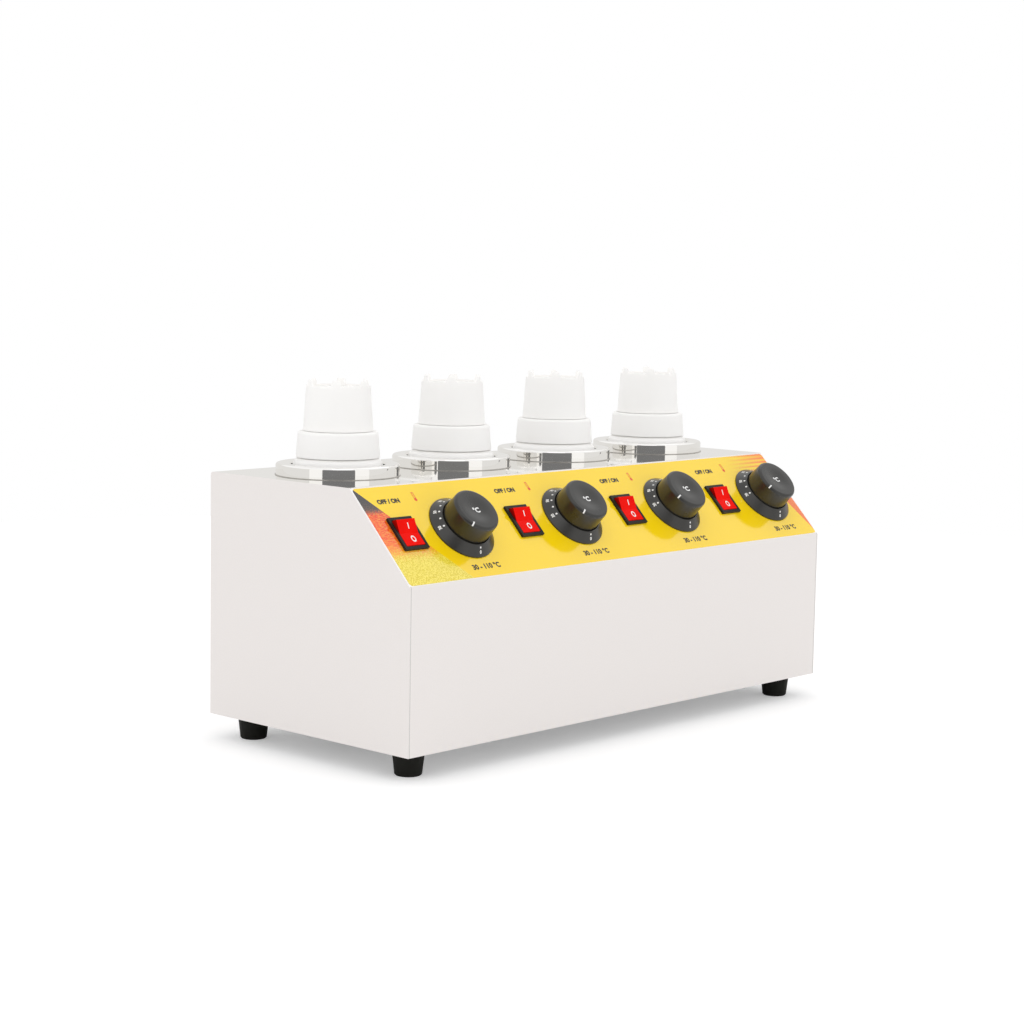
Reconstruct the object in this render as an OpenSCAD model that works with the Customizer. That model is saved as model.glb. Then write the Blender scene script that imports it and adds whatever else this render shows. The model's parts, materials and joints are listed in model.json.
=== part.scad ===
// Countertop warmer for four squeeze bottles of hot fudge or sauce.
// Millimetres, +Z up, console facing -Y, origin on the table under the middle of the whole outline.

/* [Casing] */
// Height of the folded casing, without its feet
casing_h = 198; // [185:1:230]
// Height of the upright front wall below the console
front_h = 129; // [110:1:145]
// How far the sloping console carries the top back from the front wall
slope_run = 67; // [55:1:85]
// Thickness of the casing sheet
sheet = 1.2; // [0.8:0.1:2]
// Outside radius of the folds
fold_r = 2.5; // [2.2:0.1:5]
// Width of the lips folded in under the casing
lip_w = 14; // [12:0.5:18]
// From the top down to the seam over the back panel
seam_drop = 28; // [15:1:60]
// Radius of the corners of the printed film
film_corner_r = 3; // [1:0.5:8]

/* [Stations] */
// Spacing of the four stations
station_pitch = 130; // [120:1:160]
// From an outer station's centre line to the side of the casing
end_margin = 65; // [60:1:90]
// From the upper fold of the console to the centre line of the wells
well_setback = 83; // [75:1:100]
// From the centre line of the wells to the back wall
well_back = 80; // [65:1:100]

/* [Bottles] */
// Outside diameter of a squeeze bottle
bottle_d = 72.4; // [69:0.2:78]
// Height of a bottle up to the rim of its screw cap
bottle_h = 187; // [160:1:190]
// Wall of the bottle
bottle_wall = 1.2; // [0.8:0.1:1.6]
// Radius of the rounded shoulder
shoulder_r = 8; // [6:0.5:11]
// Radius round the foot of the bottle
bottle_foot_r = 6; // [3:0.5:9]
// Outside diameter of the neck
neck_d = 59; // [54:0.5:60]

/* [Screw caps] */
// Height of a screw cap
cap_h = 20.8; // [18:0.2:26]
// Wall of the screw cap
cap_wall = 1.65; // [1.2:0.05:2]
// Thread room between the neck and the cap
cap_clear = 1; // [0.6:0.1:1.5]
// How much the cap widens from its top to its rim, per side
cap_draft = 1.7; // [0.5:0.1:3]
// Radius of the upper edge of the cap
cap_edge_r = 2.5; // [1:0.1:3.5]
// How far the rim of the cap stands above the collar
cap_proud = 5; // [3:0.5:10]
// Diameter of the raised boss that the overcap plugs over
boss_d = 51.5; // [44:0.1:52]
// Height of the boss
boss_h = 13.5; // [8:0.5:15]
// Height of the pouring nozzle above the boss
nozzle_h = 14; // [8:0.5:16]
// Diameter of the opening in the nozzle
nozzle_bore = 5; // [3:0.5:7]

/* [Overcaps] */
// Height of an overcap without its crown
overcap_h = 36; // [33:0.5:45]
// Wall of the overcap
overcap_wall = 1.4; // [1:0.1:2]
// Room between the boss and the rim of the overcap
overcap_clear = 1; // [0.6:0.1:1.5]
// How much the overcap narrows towards its top, per side
overcap_draft = 2.4; // [1:0.1:3]
// Number of lugs in the crown
crown_lugs = 6; // [4:1:8]
// Height of a lug
lug_h = 5; // [3:0.5:7]
// Width of a lug
lug_w = 9; // [6:0.5:10]

/* [Wells] */
// Room between a bottle and its well, per side
well_clear = 1.4; // [1:0.1:2.5]
// Wall of the drawn well
well_wall = 0.8; // [0.6:0.1:1.2]
// Inside radius at the foot of the well
well_foot_r = 5; // [3:0.5:8]
// Height of a collar above the top
collar_h = 9.6; // [7:0.2:14]
// Width of the collar's flat rim
collar_rim_w = 11.4; // [9:0.2:13]
// Sheet thickness of the collar
collar_t = 1.2; // [0.8:0.1:1.5]
// Radius of the collar's edges
collar_edge_r = 2; // [1.6:0.1:3]

/* [Heating] */
// Thickness of the band heater
heater_t = 2.4; // [1.5:0.1:4]
// Height of the band heater
heater_h = 90; // [60:1:110]
// Height of the heater's lower edge above the foot of the well
heater_rise = 20; // [10:1:30]
// Gap between the ends of the band
heater_gap = 16; // [12:0.5:20]
// Diameter of the thermostat's sensing bulb
bulb_d = 5; // [4:0.2:6]
// Length of the sensing bulb
bulb_l = 70; // [50:1:80]

/* [Knobs] */
// From the centre line of a station to its knob
knob_dx = 23; // [20:0.5:25]
// Diameter of the dial skirt
skirt_d = 58.8; // [54:0.2:62]
// Height of the dial skirt
skirt_h = 7.6; // [5:0.2:9]
// Diameter of the knob where it meets the skirt
knob_d = 42; // [36:0.2:44]
// Diameter of the knob at its upper edge
knob_top_d = 40.2; // [34:0.2:41]
// Height of the knob above the console
knob_h = 24.2; // [19:0.2:28]
// Radius of the knob's upper edge
knob_edge_r = 2.6; // [1:0.1:4]
// Depth of the hollow in the knob's face
dish_depth = 1.8; // [1:0.1:2.5]
// Radius of the hollow in the knob's face
dish_r = 15; // [10:0.5:16]
// Diameter of the thermostat shaft
shaft_d = 6; // [5:0.1:6.5]
// Running clearance of the shaft and of the rocker's pins, on the radius
run_clear = 0.05; // [0.02:0.01:0.1]
// Turn of each knob's mark from the zero, clockwise, at rest
knob_turn = [46, 48, 66, 67];

/* [Switches] */
// From the centre line of a station to its switch
switch_dx = -36; // [-40:0.5:-34]
// Width of the switch bezel
bezel_w = 25; // [24:0.1:27]
// Length of the switch bezel
bezel_l = 30.5; // [30:0.1:33]
// Height of the bezel above the console
bezel_h = 2.2; // [1.5:0.1:3]
// Width of the rocker
rocker_w = 19.4; // [17:0.1:19.8]
// Radius of the rocker's ends about its pivot
rocker_r = 12.4; // [11:0.1:12.6]
// Tilt of the rocker to either side
rocker_tilt = 11; // [8:0.5:12]
// Depth of the switch body below the console
switch_depth = 23; // [20:0.5:28]

/* [Feet and base] */
// Height of the rubber feet
foot_h = 20; // [14:0.5:30]
// Diameter of a foot under the base
foot_top_d = 26; // [22:0.5:30]
// Diameter of a foot on the table
foot_d = 21.5; // [18:0.5:28]
// From the sides of the casing to the centre of a foot
foot_inset = 25; // [23:0.5:40]
// From the sides of the casing to the outer screws of the base plate, along the front and back
base_screw_inset = 95; // [60:1:120]
// Depth of the screw recess in a foot
foot_recess = 8; // [5:0.5:10]
// Width of a vent slot in the base plate
vent_w = 4; // [3:0.5:6]
// Length of a vent slot
vent_l = 46; // [30:1:60]
// Vent slots at each station
vents = 6; // [3:1:7]

/* [Cord entry] */
// Bore of the cable gland
gland_bore = 8; // [6:0.5:10]
// From the casing's end to the gland, along the back
gland_inset = 60; // [40:1:100]
// Height of the gland above the base
gland_rise = 32; // [26:1:60]
// How far the gland stands out of the back
gland_out_l = 12; // [8:0.5:20]

/* [Hidden] */
$fn = 96;
STATIONS = [0, 1, 2, 3];
PER_STATION = ["collar_ring", "well_can", "heater_band", "thermostat", "dial_skirt", "knob", "knob_shaft",
    "switch_housing", "rocker", "bottle", "screw_cap", "overcap"];
SHARED = ["housing", "end_panels", "base_plate", "control_overlay", "rubber_feet", "foot_screws", "base_screws",
    "bush_nuts", "cable_gland", "gland_locknut", "terminal_block", "wiring_harness"];

// Colours as the photographed object shows them
STEEL = "#d9d8d6";
CASE_GREY = "#ebe6e4";
YELLOW = "#fedb60";
BLACK = "#2e2d2c";
RED = "#e0261c";
MILKY = "#f2f1ee";

// A hair of overlap where a cut or a joined block has to pass a face
eps = 0.5;
// Gap between pieces that lie on each other but come apart
seat_gap = 0.3;
// Room round a piece that passes through a hole in the sheet, per side
hole_clear = 0.3;

// Casing
casing_w = (len(STATIONS) - 1) * station_pitch + 2 * end_margin;
casing_d = slope_run + well_setback + well_back;
slope_rise = casing_h - front_h;
slope_a = atan(slope_rise / slope_run);
slope_l = norm([slope_run, slope_rise]);
front_y = -(casing_d + gland_out_l) / 2;
back_y = front_y + casing_d;
mid_y = (front_y + back_y) / 2;
top_z = foot_h + casing_h;
console_y = front_y + slope_run / 2;
console_z = foot_h + front_h + slope_rise / 2;
well_y = back_y - well_back;
fold_steps = 6;

// The film on the console, the glue under it, and the margin that leaves the folds bare
film_t = 0.3;
glue_t = 0.02;
film_margin = fold_r * tan(max(slope_a, 90 - slope_a) / 2) + 0.4;

// Bottle, cap and overcap
bottle_r = bottle_d / 2;
neck_r = neck_d / 2;
collar_top_z = top_z + collar_h;
cap_z = collar_top_z + cap_proud;
bottle_z = cap_z - bottle_h;
cap_top_r = neck_r + cap_clear + cap_wall;
cap_rim_r = cap_top_r + cap_draft;
cap_rim_in_r = cap_rim_r - cap_wall;
cap_deck_t = 1.6;
deck_z = cap_z + cap_h;
neck_top_z = deck_z - cap_deck_t - seat_gap;
shoulder_gap = 0.5;
shoulder_c = bottle_r - shoulder_r;
shoulder_dx = max(0, cap_rim_in_r - shoulder_c);
shoulder_z = cap_z - sqrt(pow(shoulder_r + shoulder_gap, 2) - pow(shoulder_dx, 2));
boss_r = boss_d / 2;
boss_wall = 1.5;
boss_edge_r = 1.5;
nozzle_foot_r = nozzle_bore / 2 + 5;
nozzle_tip_r = nozzle_bore / 2 + 1.4;
overcap_z = deck_z + seat_gap;
overcap_r = boss_r + overcap_clear + overcap_wall;
overcap_top_r = overcap_r - overcap_draft;

// Well and collar
well_r = bottle_r + well_clear;
can_r = well_r + well_wall;
floor_z = bottle_z - seat_gap;
collar_r = can_r + collar_rim_w;
flange_r = collar_r - collar_t - 2;

// Heater, held by a clamp screw across lugs at the front of the well
heater_in_r = can_r + 0.05;
heater_r = heater_in_r + heater_t;
heater_z = floor_z - well_wall + heater_rise;
lug_t = 1.5;
lug_l = 12;
clamp_d = 4;
clamp_head_d = 7;
bulb_y = well_y - heater_in_r - bulb_d / 2 - 0.1;
bulb_top_z = heater_z + heater_h - 12;

// Thermostat behind the console
bush_d = 10;
bush_nut_w = 14;
bush_nut_t = 2.2;
stat_w = 34;
stat_l = 38;
stat_depth = 24;
stat_gap = 2;
capillary_d = 1.8;
terminal_w = 6;
terminal_t = 0.8;
terminal_l = 8;

// Knob and dial
skirt_r = skirt_d / 2;
skirt_floor = 1.4;
skirt_rim_h = 1.2;
knob_clear = 0.5;
knob_base_z = film_t + skirt_floor + 0.6;
bush_top_z = film_t + skirt_floor + bush_nut_t + 0.7;
hub_z = bush_top_z + 0.4;
knob_r = knob_d / 2;
knob_top_r = knob_top_d / 2;
knob_wall = 2;
hub_d = 13;
hub_bore_l = 11;
shaft_flat = 1.2;
mark_w = 1.4;
mark_l = 5;
mark_depth = 0.5;

// Switch
rocker_clear = 0.3;
window_w = rocker_w + 2 * rocker_clear;
window_l = 2 * (rocker_r + rocker_clear);
switch_wall = 0.9;
switch_body_w = window_w + 2 * switch_wall;
switch_body_l = window_l + 2 * switch_wall;
pivot_z = -0.8;
pin_d = 2.8;
pin_in = 0.6;
rocker_chord = 7;
crease_z = bezel_h + film_t - pivot_z;
tab_w = 6.3;
tab_t = 0.8;
tab_l = 8;

// Base
plate_z = foot_h;
plate_clear = 0.3;
lip_z = plate_z + sheet;
screw_d = 4;
screw_head_d = 8;
screw_head_h = 2.4;
foot_screw_d = 5;
foot_screw_head_d = 9;
foot_screw_head_h = 3;
foot_hole_d = foot_screw_d + 0.6;

// Cable gland
gland_d = gland_bore + 6;
gland_flange_d = gland_bore + 12;
gland_flange_t = 3;
gland_nut_w = gland_bore + 12;
gland_nut_t = 5;
gland_in_l = 14;
gland_x = casing_w / 2 - gland_inset;
gland_z = foot_h + gland_rise;

// Terminal block on the base plate and the wires that leave it
block_w = 62;
block_d = 20;
block_h = 17;
block_poles = 6;
block_x = casing_w / 2 - gland_inset - 60;
block_y = back_y - sheet - lip_w - 14;
trunk_r = 3;
wire_r = 1.6;
trunk_z = plate_z + 26;
trunk_y = well_y - heater_r - 26;

function station_x(i) = (i - (len(STATIONS) - 1) / 2) * station_pitch;
function unit(v) = v / norm(v);
// Depth points of the console: along X from a station, below the sheet by d
function under_console(i, dx, d) = [station_x(i) + dx, console_y + d * sin(slope_a), console_z - d * cos(slope_a)];
// The corner b of an outline, rounded to radius r
function rounded(a, b, c, r) = let (
    u = unit(a - b), v = unit(c - b), half = acos(u * v) / 2,
    centre = b + unit(u + v) * r / sin(half), from = b + u * r / tan(half) - centre,
    sweep = 180 - 2 * half, turn = cross(u, v) > 0 ? -1 : 1)
    [for (k = [0:fold_steps]) let (q = turn * sweep * k / fold_steps)
        centre + [from.x * cos(q) - from.y * sin(q), from.x * sin(q) + from.y * cos(q)]];
// The corner b of an outline, moved inwards by t
function inset(a, b, c, t) = let (u = unit(a - b), v = unit(c - b), half = acos(u * v) / 2)
    b + unit(u + v) * t / sin(half);

// Children placed at a station's well, on the table
module at_well(i) {
    translate([station_x(i), well_y, 0]) children();
}

// Children placed on the middle line of the console: X along it, Y up it, Z out of it
module on_console(i, dx) {
    translate(under_console(i, dx, 0)) rotate([slope_a, 0, 0]) children();
}

// Round bar between two points
module rod(p, q, r) {
    run = q - p;
    translate(p) rotate([0, acos(run.z / norm(run)), atan2(run.y, run.x)]) cylinder(h = norm(run), r = r);
}

// Block centred over the origin, standing on z
module slab(size, z) {
    translate([-size.x / 2, -size.y / 2, z]) cube(size);
}

// Rectangle with corners of radius r
module rounded_rectangle(size, r) {
    corners = [for (s = [[-1, -1], [1, -1], [1, 1], [-1, 1]]) [s.x * size.x, s.y * size.y] / 2];
    polygon([for (k = [0:3]) each rounded(corners[(k + 3) % 4], corners[k], corners[(k + 1) % 4], r)]);
}

// Slot with round ends, along Y
module slot(l, w) {
    square([w, l - w], center = true);
    for (end = [-1, 1]) translate([0, end * (l - w) / 2]) circle(d = w);
}

// Points under the casing where the base plate is screwed to the lips
function base_screw_points() = let (
    lip_y = casing_d / 2 - sheet - lip_w / 2, lip_x = casing_w / 2 - sheet - lip_w / 2)
    concat([for (sx = [-1, 0, 1], sy = [-1, 1]) [sx * (casing_w / 2 - base_screw_inset), mid_y + sy * lip_y]],
        [for (sx = [-1, 1]) [sx * lip_x, mid_y]]);

function foot_points() = [for (sx = [-1, 1], sy = [-1, 1])
    [sx * (casing_w / 2 - foot_inset), mid_y + sy * (casing_d / 2 - foot_inset)]];

// Side view of the casing, set in by t, with its folds rounded to radius r
module casing_outline(t, r) {
    foot_front = [front_y, foot_h];
    fold_front = [front_y, foot_h + front_h];
    fold_top = [front_y + slope_run, top_z];
    fold_back = [back_y, top_z];
    foot_back = [back_y, foot_h];
    f = inset(foot_front, fold_front, fold_top, t);
    g = inset(fold_front, fold_top, fold_back, t);
    h = inset(fold_top, fold_back, foot_back, t);
    low_z = foot_h - (t > 0 ? eps : 0);
    a = [front_y + t, low_z];
    b = [back_y - t, low_z];
    polygon(concat([a], rounded(a, f, g, r), rounded(f, g, h, r), rounded(g, h, b, r), [b]));
}

// Width w of the casing's section, set in by t
module casing_run(w, t, r) {
    rotate([90, 0, 90]) linear_extrude(w, center = true) casing_outline(t, r);
}

// Sheet folded into the front, console and top, and the back panel between the ends under its seam
module housing() color(CASE_GREY) {
    difference() {
        casing_sheet();
        back_room(seat_gap);
    }
    intersection() {
        casing_sheet();
        back_room(0);
    }
}

// Space that the back panel and its lip take up, grown upwards by gap
module back_room(gap) {
    translate([-casing_w / 2, back_y - sheet - lip_w - eps, foot_h - eps])
        cube([casing_w, sheet + lip_w + 2 * eps, casing_h - seam_drop + eps + gap]);
}

// Front, console, top and back as one sheet, with lips for the base plate
module casing_sheet() difference() {
    w = casing_w - 2 * sheet;
    union() {
        difference() {
            casing_run(w, 0, fold_r);
            casing_run(w + 2 * eps, sheet, fold_r - sheet);
        }
        translate([0, mid_y, 0]) difference() {
            slab([w, casing_d - sheet, sheet], lip_z);
            slab([w + 2 * eps, casing_d - 2 * (sheet + lip_w), sheet + 2 * eps], lip_z - eps);
        }
    }
    for (i = STATIONS) {
        at_well(i) translate([0, 0, top_z - 4 * sheet]) cylinder(h = 6 * sheet, r = can_r + hole_clear);
        on_console(i, switch_dx) switch_hole();
        on_console(i, knob_dx) bush_hole();
    }
    lip_screw_holes();
    translate([gland_x, back_y - 2 * sheet, gland_z]) rotate([-90, 0, 0])
        cylinder(h = 3 * sheet, d = gland_d + 2 * hole_clear);
}

// Panels welded to the ends of the folded sheet, each with a lip between the other lips
module end_panels() color(CASE_GREY) for (side = [-1, 1]) difference() {
    lip_l = casing_d - 2 * (sheet + lip_w + hole_clear);
    union() {
        translate([side * (casing_w - sheet) / 2, 0, 0]) casing_run(sheet, 0, fold_r);
        translate([side * (casing_w - sheet - lip_w) / 2, mid_y, 0]) slab([sheet + lip_w, lip_l, sheet], lip_z);
    }
    lip_screw_holes();
}

module lip_screw_holes() {
    for (p = base_screw_points())
        translate([p.x, p.y, lip_z - eps]) cylinder(h = sheet + 2 * eps, d = screw_d + 2 * hole_clear);
}

// What the switch and the thermostat's bush need cut out of the console and its film
module switch_hole() {
    slab([switch_body_w + 2 * hole_clear, switch_body_l + 2 * hole_clear, 6 * sheet], -3 * sheet);
}

module bush_hole() {
    translate([0, 0, -3 * sheet]) cylinder(h = 6 * sheet, d = bush_d + 2 * hole_clear);
}

// Vented plate that closes the casing from below
module base_plate() color(STEEL) difference() {
    edge = sheet + plate_clear;
    translate([0, mid_y, 0]) slab([casing_w - 2 * edge, casing_d - 2 * edge, sheet], plate_z);
    translate([0, 0, plate_z - eps]) linear_extrude(sheet + 2 * eps) {
        for (p = base_screw_points()) translate(p) circle(d = screw_d + 2 * hole_clear);
        for (p = foot_points()) translate(p) circle(d = foot_hole_d);
        for (i = STATIONS, k = [0:vents - 1])
            translate([station_x(i) + (k - (vents - 1) / 2) * 2.2 * vent_w, well_y - 20]) slot(vent_l, vent_w);
    }
}

// Printed film on the console, cut out for the switches and bushes
module control_overlay() color(YELLOW) difference() {
    translate([0, console_y, console_z]) rotate([slope_a, 0, 0]) translate([0, 0, glue_t])
        linear_extrude(film_t - glue_t)
            rounded_rectangle([casing_w - 2 * film_margin, slope_l - 2 * film_margin], film_corner_r);
    for (i = STATIONS) {
        on_console(i, switch_dx) switch_hole();
        on_console(i, knob_dx) bush_hole();
    }
}

// Four tapered feet, hollow below for their screws
module rubber_feet() color(BLACK) for (p = foot_points()) translate(p) difference() {
    rotate_extrude() polygon([
        [0, 0], [foot_d / 2 - 1, 0], [foot_d / 2, 1], [foot_top_d / 2, foot_h], [0, foot_h]]);
    translate([0, 0, -eps]) cylinder(h = foot_recess + eps, d = foot_screw_head_d + 2);
    cylinder(h = foot_h + eps, d = foot_hole_d);
}

// Screws through the feet, with their nuts on the base plate
module foot_screws() color(STEEL) for (p = foot_points()) translate(p) {
    nut_t = 4;
    translate([0, 0, foot_recess - foot_screw_head_h])
        cylinder(h = foot_screw_head_h, d1 = foot_screw_head_d - 2, d2 = foot_screw_head_d);
    translate([0, 0, foot_recess - eps])
        cylinder(h = foot_h + sheet + nut_t + 2 - foot_recess, d = foot_screw_d);
    translate([0, 0, foot_h + sheet]) difference() {
        cylinder(h = nut_t, d = 1.8 * foot_screw_d, $fn = 6);
        translate([0, 0, -eps]) cylinder(h = nut_t + 2 * eps, d = foot_screw_d + 0.1);
    }
}

// Screws that hold the base plate to the lips
module base_screws() color(STEEL) for (p = base_screw_points()) translate([p.x, p.y, plate_z]) {
    translate([0, 0, -screw_head_h]) cylinder(h = screw_head_h, d1 = screw_head_d - 2.5, d2 = screw_head_d);
    translate([0, 0, -eps]) cylinder(h = 2 * sheet + 5 + eps, d = screw_d);
}

// Drawn cup that a bottle stands in, hung from the top by its flange
module well_can(i) color(STEEL) at_well(i) rotate_extrude() {
    difference() {
        cup_outline(can_r, floor_z - well_wall, well_foot_r + well_wall);
        cup_outline(well_r, floor_z, well_foot_r);
        translate([0, top_z + well_wall]) square([can_r + 1, casing_h]);
    }
    translate([well_r, top_z]) square([flange_r - well_r, well_wall]);
}

// Half outline of a round-footed cup with its foot at z, open upwards
module cup_outline(r, z, foot_r) {
    translate([0, z + foot_r]) square([r, casing_h]);
    translate([0, z]) square([r - foot_r, foot_r + eps]);
    translate([r - foot_r, z + foot_r]) circle(foot_r);
}

// Half outline of a spun band with round upper edges, from z to z + h
module band_outline(r_in, r_out, z, h, r) {
    translate([r_in, z]) square([r_out - r_in, h - r]);
    translate([r_in + r, z]) square([r_out - r_in - 2 * r, h]);
    for (x = [r_in + r, r_out - r]) translate([x, z + h - r]) circle(r);
}

// Polished collar spun from sheet, hollow below, over the well's flange
module collar_ring(i) color(STEEL) at_well(i) rotate_extrude() difference() {
    band_outline(can_r, collar_r, top_z, collar_h, collar_edge_r);
    band_outline(can_r + collar_t, collar_r - collar_t, top_z - eps, collar_h + eps - collar_t,
        collar_edge_r - collar_t);
    translate([can_r - eps, top_z - eps]) square([flange_r + 1 - can_r + eps, well_wall + eps]);
}

// Band heater round the well, clamped at the front, with its terminal block
module heater_band(i) color("#b8a98c") at_well(i) {
    clamp_z = heater_z + heater_h / 3;
    clamp_y = -heater_r - lug_l * 0.62;
    difference() {
        translate([0, 0, heater_z]) cylinder(h = heater_h, r = heater_r);
        translate([0, 0, heater_z - eps]) cylinder(h = heater_h + 2 * eps, r = heater_in_r);
        translate([-heater_gap / 2, -heater_r - eps, heater_z - eps])
            cube([heater_gap, heater_r, heater_h + 2 * eps]);
    }
    for (side = [0, 1]) mirror([side, 0, 0])
        translate([heater_gap / 2, -heater_r - lug_l, clamp_z - lug_l / 2]) cube([lug_t, lug_l + 2, lug_l]);
    translate([-heater_gap / 2 - 6, clamp_y, clamp_z]) rotate([0, 90, 0])
        cylinder(h = heater_gap + 12, d = clamp_d);
    translate([heater_gap / 2 + lug_t - 0.1, clamp_y, clamp_z]) rotate([0, 90, 0])
        cylinder(h = 3, d = clamp_head_d, $fn = 6);
    rotate([0, 0, 225]) translate([heater_r - 1, -7, heater_z + 4]) cube([9, 14, 12]);
}

// Capillary thermostat: body and bush behind the console, bulb against the well
module thermostat(i) color("#c9b27a") {
    body_z = -sheet - stat_gap - stat_depth;
    difference() {
        on_console(i, knob_dx) {
            slab([stat_w, stat_l, stat_depth], body_z);
            translate([0, 0, body_z + stat_depth - eps]) cylinder(h = stat_gap + eps, d = bush_d + 6);
            translate([0, 0, body_z + stat_depth]) cylinder(h = bush_top_z - body_z - stat_depth, d = bush_d);
            for (side = [-1, 1]) translate([side * 10, 8, 0])
                slab([terminal_w, terminal_t, terminal_l + eps], body_z - terminal_l);
        }
        on_console(i, knob_dx) translate([0, 0, body_z + stat_depth - 6.5])
            cylinder(h = 30, d = shaft_d + 2 * run_clear);
    }
    exit = under_console(i, knob_dx, -body_z - eps);
    bend = under_console(i, knob_dx, 9 - body_z);
    over_bulb = [station_x(i), bulb_y, bend.z];
    rod(exit, bend, capillary_d / 2);
    rod(bend, over_bulb, capillary_d / 2);
    for (p = [bend, over_bulb]) translate(p) sphere(d = capillary_d * 1.3);
    rod(over_bulb, [over_bulb.x, over_bulb.y, bulb_top_z - eps], capillary_d / 2);
    translate([station_x(i), bulb_y, bulb_top_z - bulb_l]) cylinder(h = bulb_l, d = bulb_d);
}

// Nuts that clamp the thermostats and the dial skirts to the console
module bush_nuts() color(STEEL) for (i = STATIONS) on_console(i, knob_dx)
    translate([0, 0, film_t + skirt_floor]) difference() {
        cylinder(h = bush_nut_t, d = bush_nut_w / cos(30), $fn = 6);
        translate([0, 0, -eps]) cylinder(h = bush_nut_t + 2 * eps, d = bush_d + 0.1);
    }

// Fixed cone that carries the temperature scale, with a pocket for the knob
module dial_skirt(i) color(BLACK) on_console(i, knob_dx) translate([0, 0, film_t]) rotate_extrude() {
    hole_r = bush_d / 2 + 0.1;
    pocket_r = knob_r + knob_clear;
    polygon([
        [hole_r, 0], [skirt_r, 0], [skirt_r, skirt_rim_h], [pocket_r + 0.8, skirt_h], [pocket_r, skirt_h],
        [pocket_r, skirt_floor], [hole_r, skirt_floor]]);
}

// Outline of the knob, with its soft hollow face
module knob_outline() {
    steps = 12;
    polygon(concat(
        [[0, knob_base_z], [knob_r, knob_base_z], [knob_top_r, knob_h - knob_edge_r]],
        [for (k = [1:steps]) let (q = 90 * k / steps)
            [knob_top_r - knob_edge_r * (1 - cos(q)), knob_h - knob_edge_r * (1 - sin(q))]],
        [for (k = [steps:-1:0]) let (r = dish_r * k / steps)
            [r, knob_h - dish_depth * (1 + cos(180 * k / steps)) / 2]]));
}

// Knob with a hub for the shaft, ribs and a grooved mark
module knob(i) color(BLACK) on_console(i, knob_dx) {
    roof_z = knob_h - dish_depth - knob_wall;
    difference() {
        rotate_extrude() knob_outline();
        difference() {
            translate([0, 0, knob_base_z - eps]) cylinder(h = roof_z - knob_base_z + eps,
                r1 = knob_r - knob_wall, r2 = knob_top_r - knob_wall - 0.8);
            translate([0, 0, hub_z]) cylinder(h = knob_h, d = hub_d);
            for (q = [0, 90]) rotate(q + 45) slab([knob_d, 1.2, knob_h], hub_z + 3);
        }
        shaft_bar(hub_z - 2 * eps, hub_bore_l + 2 * eps, run_clear);
        rotate(270 - knob_turn[i]) translate([knob_top_r - 2, 0, knob_h - 0.25]) rotate([0, 28, 0])
            cube([mark_l, mark_w, 2 * mark_depth], center = true);
    }
}

// Bar with a flat, from z up; grown by gap where it cuts a bore
module shaft_bar(z, l, gap) {
    difference() {
        translate([0, 0, z]) cylinder(h = l, r = shaft_d / 2 + gap);
        translate([shaft_d / 2 - shaft_flat + gap, -shaft_d, z - eps]) cube([shaft_d, 2 * shaft_d, l + 2 * eps]);
    }
}

// Thermostat shaft, round in the bush and flatted in the knob
module knob_shaft(i) color(STEEL) on_console(i, knob_dx) {
    foot_z = -sheet - stat_gap - 6;
    translate([0, 0, foot_z]) cylinder(h = hub_z - 0.1 - foot_z, d = shaft_d);
    shaft_bar(hub_z - 0.1 - eps, hub_bore_l - 0.4, 0);
}

// Bezel and body of a rocker switch, open for the rocker, with clips and tabs
module switch_housing(i) color(BLACK) on_console(i, switch_dx) {
    cavity_z = pivot_z - rocker_r * sin(asin(rocker_chord / rocker_r) + rocker_tilt) - 0.5;
    difference() {
        union() {
            slab([bezel_w, bezel_l, bezel_h], film_t);
            slab([switch_body_w, switch_body_l, switch_depth + film_t + eps], -switch_depth);
            for (side = [0, 1]) mirror([0, side, 0]) rotate([90, 0, 90])
                linear_extrude(8, center = true) polygon([
                    [switch_body_l / 2 - eps, -sheet - 0.2], [switch_body_l / 2 + 1.1, -sheet - 0.2],
                    [switch_body_l / 2 - eps, -sheet - 8]]);
        }
        slab([window_w, window_l, switch_depth], cavity_z);
        translate([0, 0, pivot_z]) rotate([0, 90, 0])
            cylinder(h = window_w + 2 * pin_in + 0.2, r = pin_d / 2 + run_clear, center = true);
    }
    for (side = [-1, 1]) translate([0, side * 7, 0])
        slab([tab_w, tab_t, tab_l + eps], -switch_depth - tab_l);
}

// Rocker with a creased face and round ends, on two pivot pins; its lower half is pressed
module rocker(i) color(RED) on_console(i, switch_dx) translate([0, 0, pivot_z]) rotate([rocker_tilt, 0, 0]) {
    crease = crease_z / cos(rocker_tilt);
    rise = 2 * rocker_r * tan(rocker_tilt);
    rotate([90, 0, 90]) linear_extrude(rocker_w, center = true) intersection() {
        circle(rocker_r);
        polygon([
            [-2 * rocker_r, -rocker_chord], [2 * rocker_r, -rocker_chord], [2 * rocker_r, crease + rise],
            [0, crease], [-2 * rocker_r, crease + rise]]);
    }
    rotate([0, 90, 0]) cylinder(h = window_w + 2 * pin_in, d = pin_d, center = true);
}

// Half outline of a bottle set in by t, closed above at the neck's height
module bottle_outline(t) {
    shoulder = shoulder_r - t;
    foot = bottle_foot_r - t;
    low_z = bottle_z + t;
    translate([0, low_z + foot]) square([bottle_r - t, shoulder_z - low_z - foot]);
    translate([0, low_z]) square([bottle_r - t - foot, foot + eps]);
    translate([bottle_r - t - foot, low_z + foot]) circle(foot);
    translate([shoulder_c, shoulder_z]) circle(shoulder);
    translate([0, shoulder_z - eps]) square([shoulder_c, shoulder + eps]);
}

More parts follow.
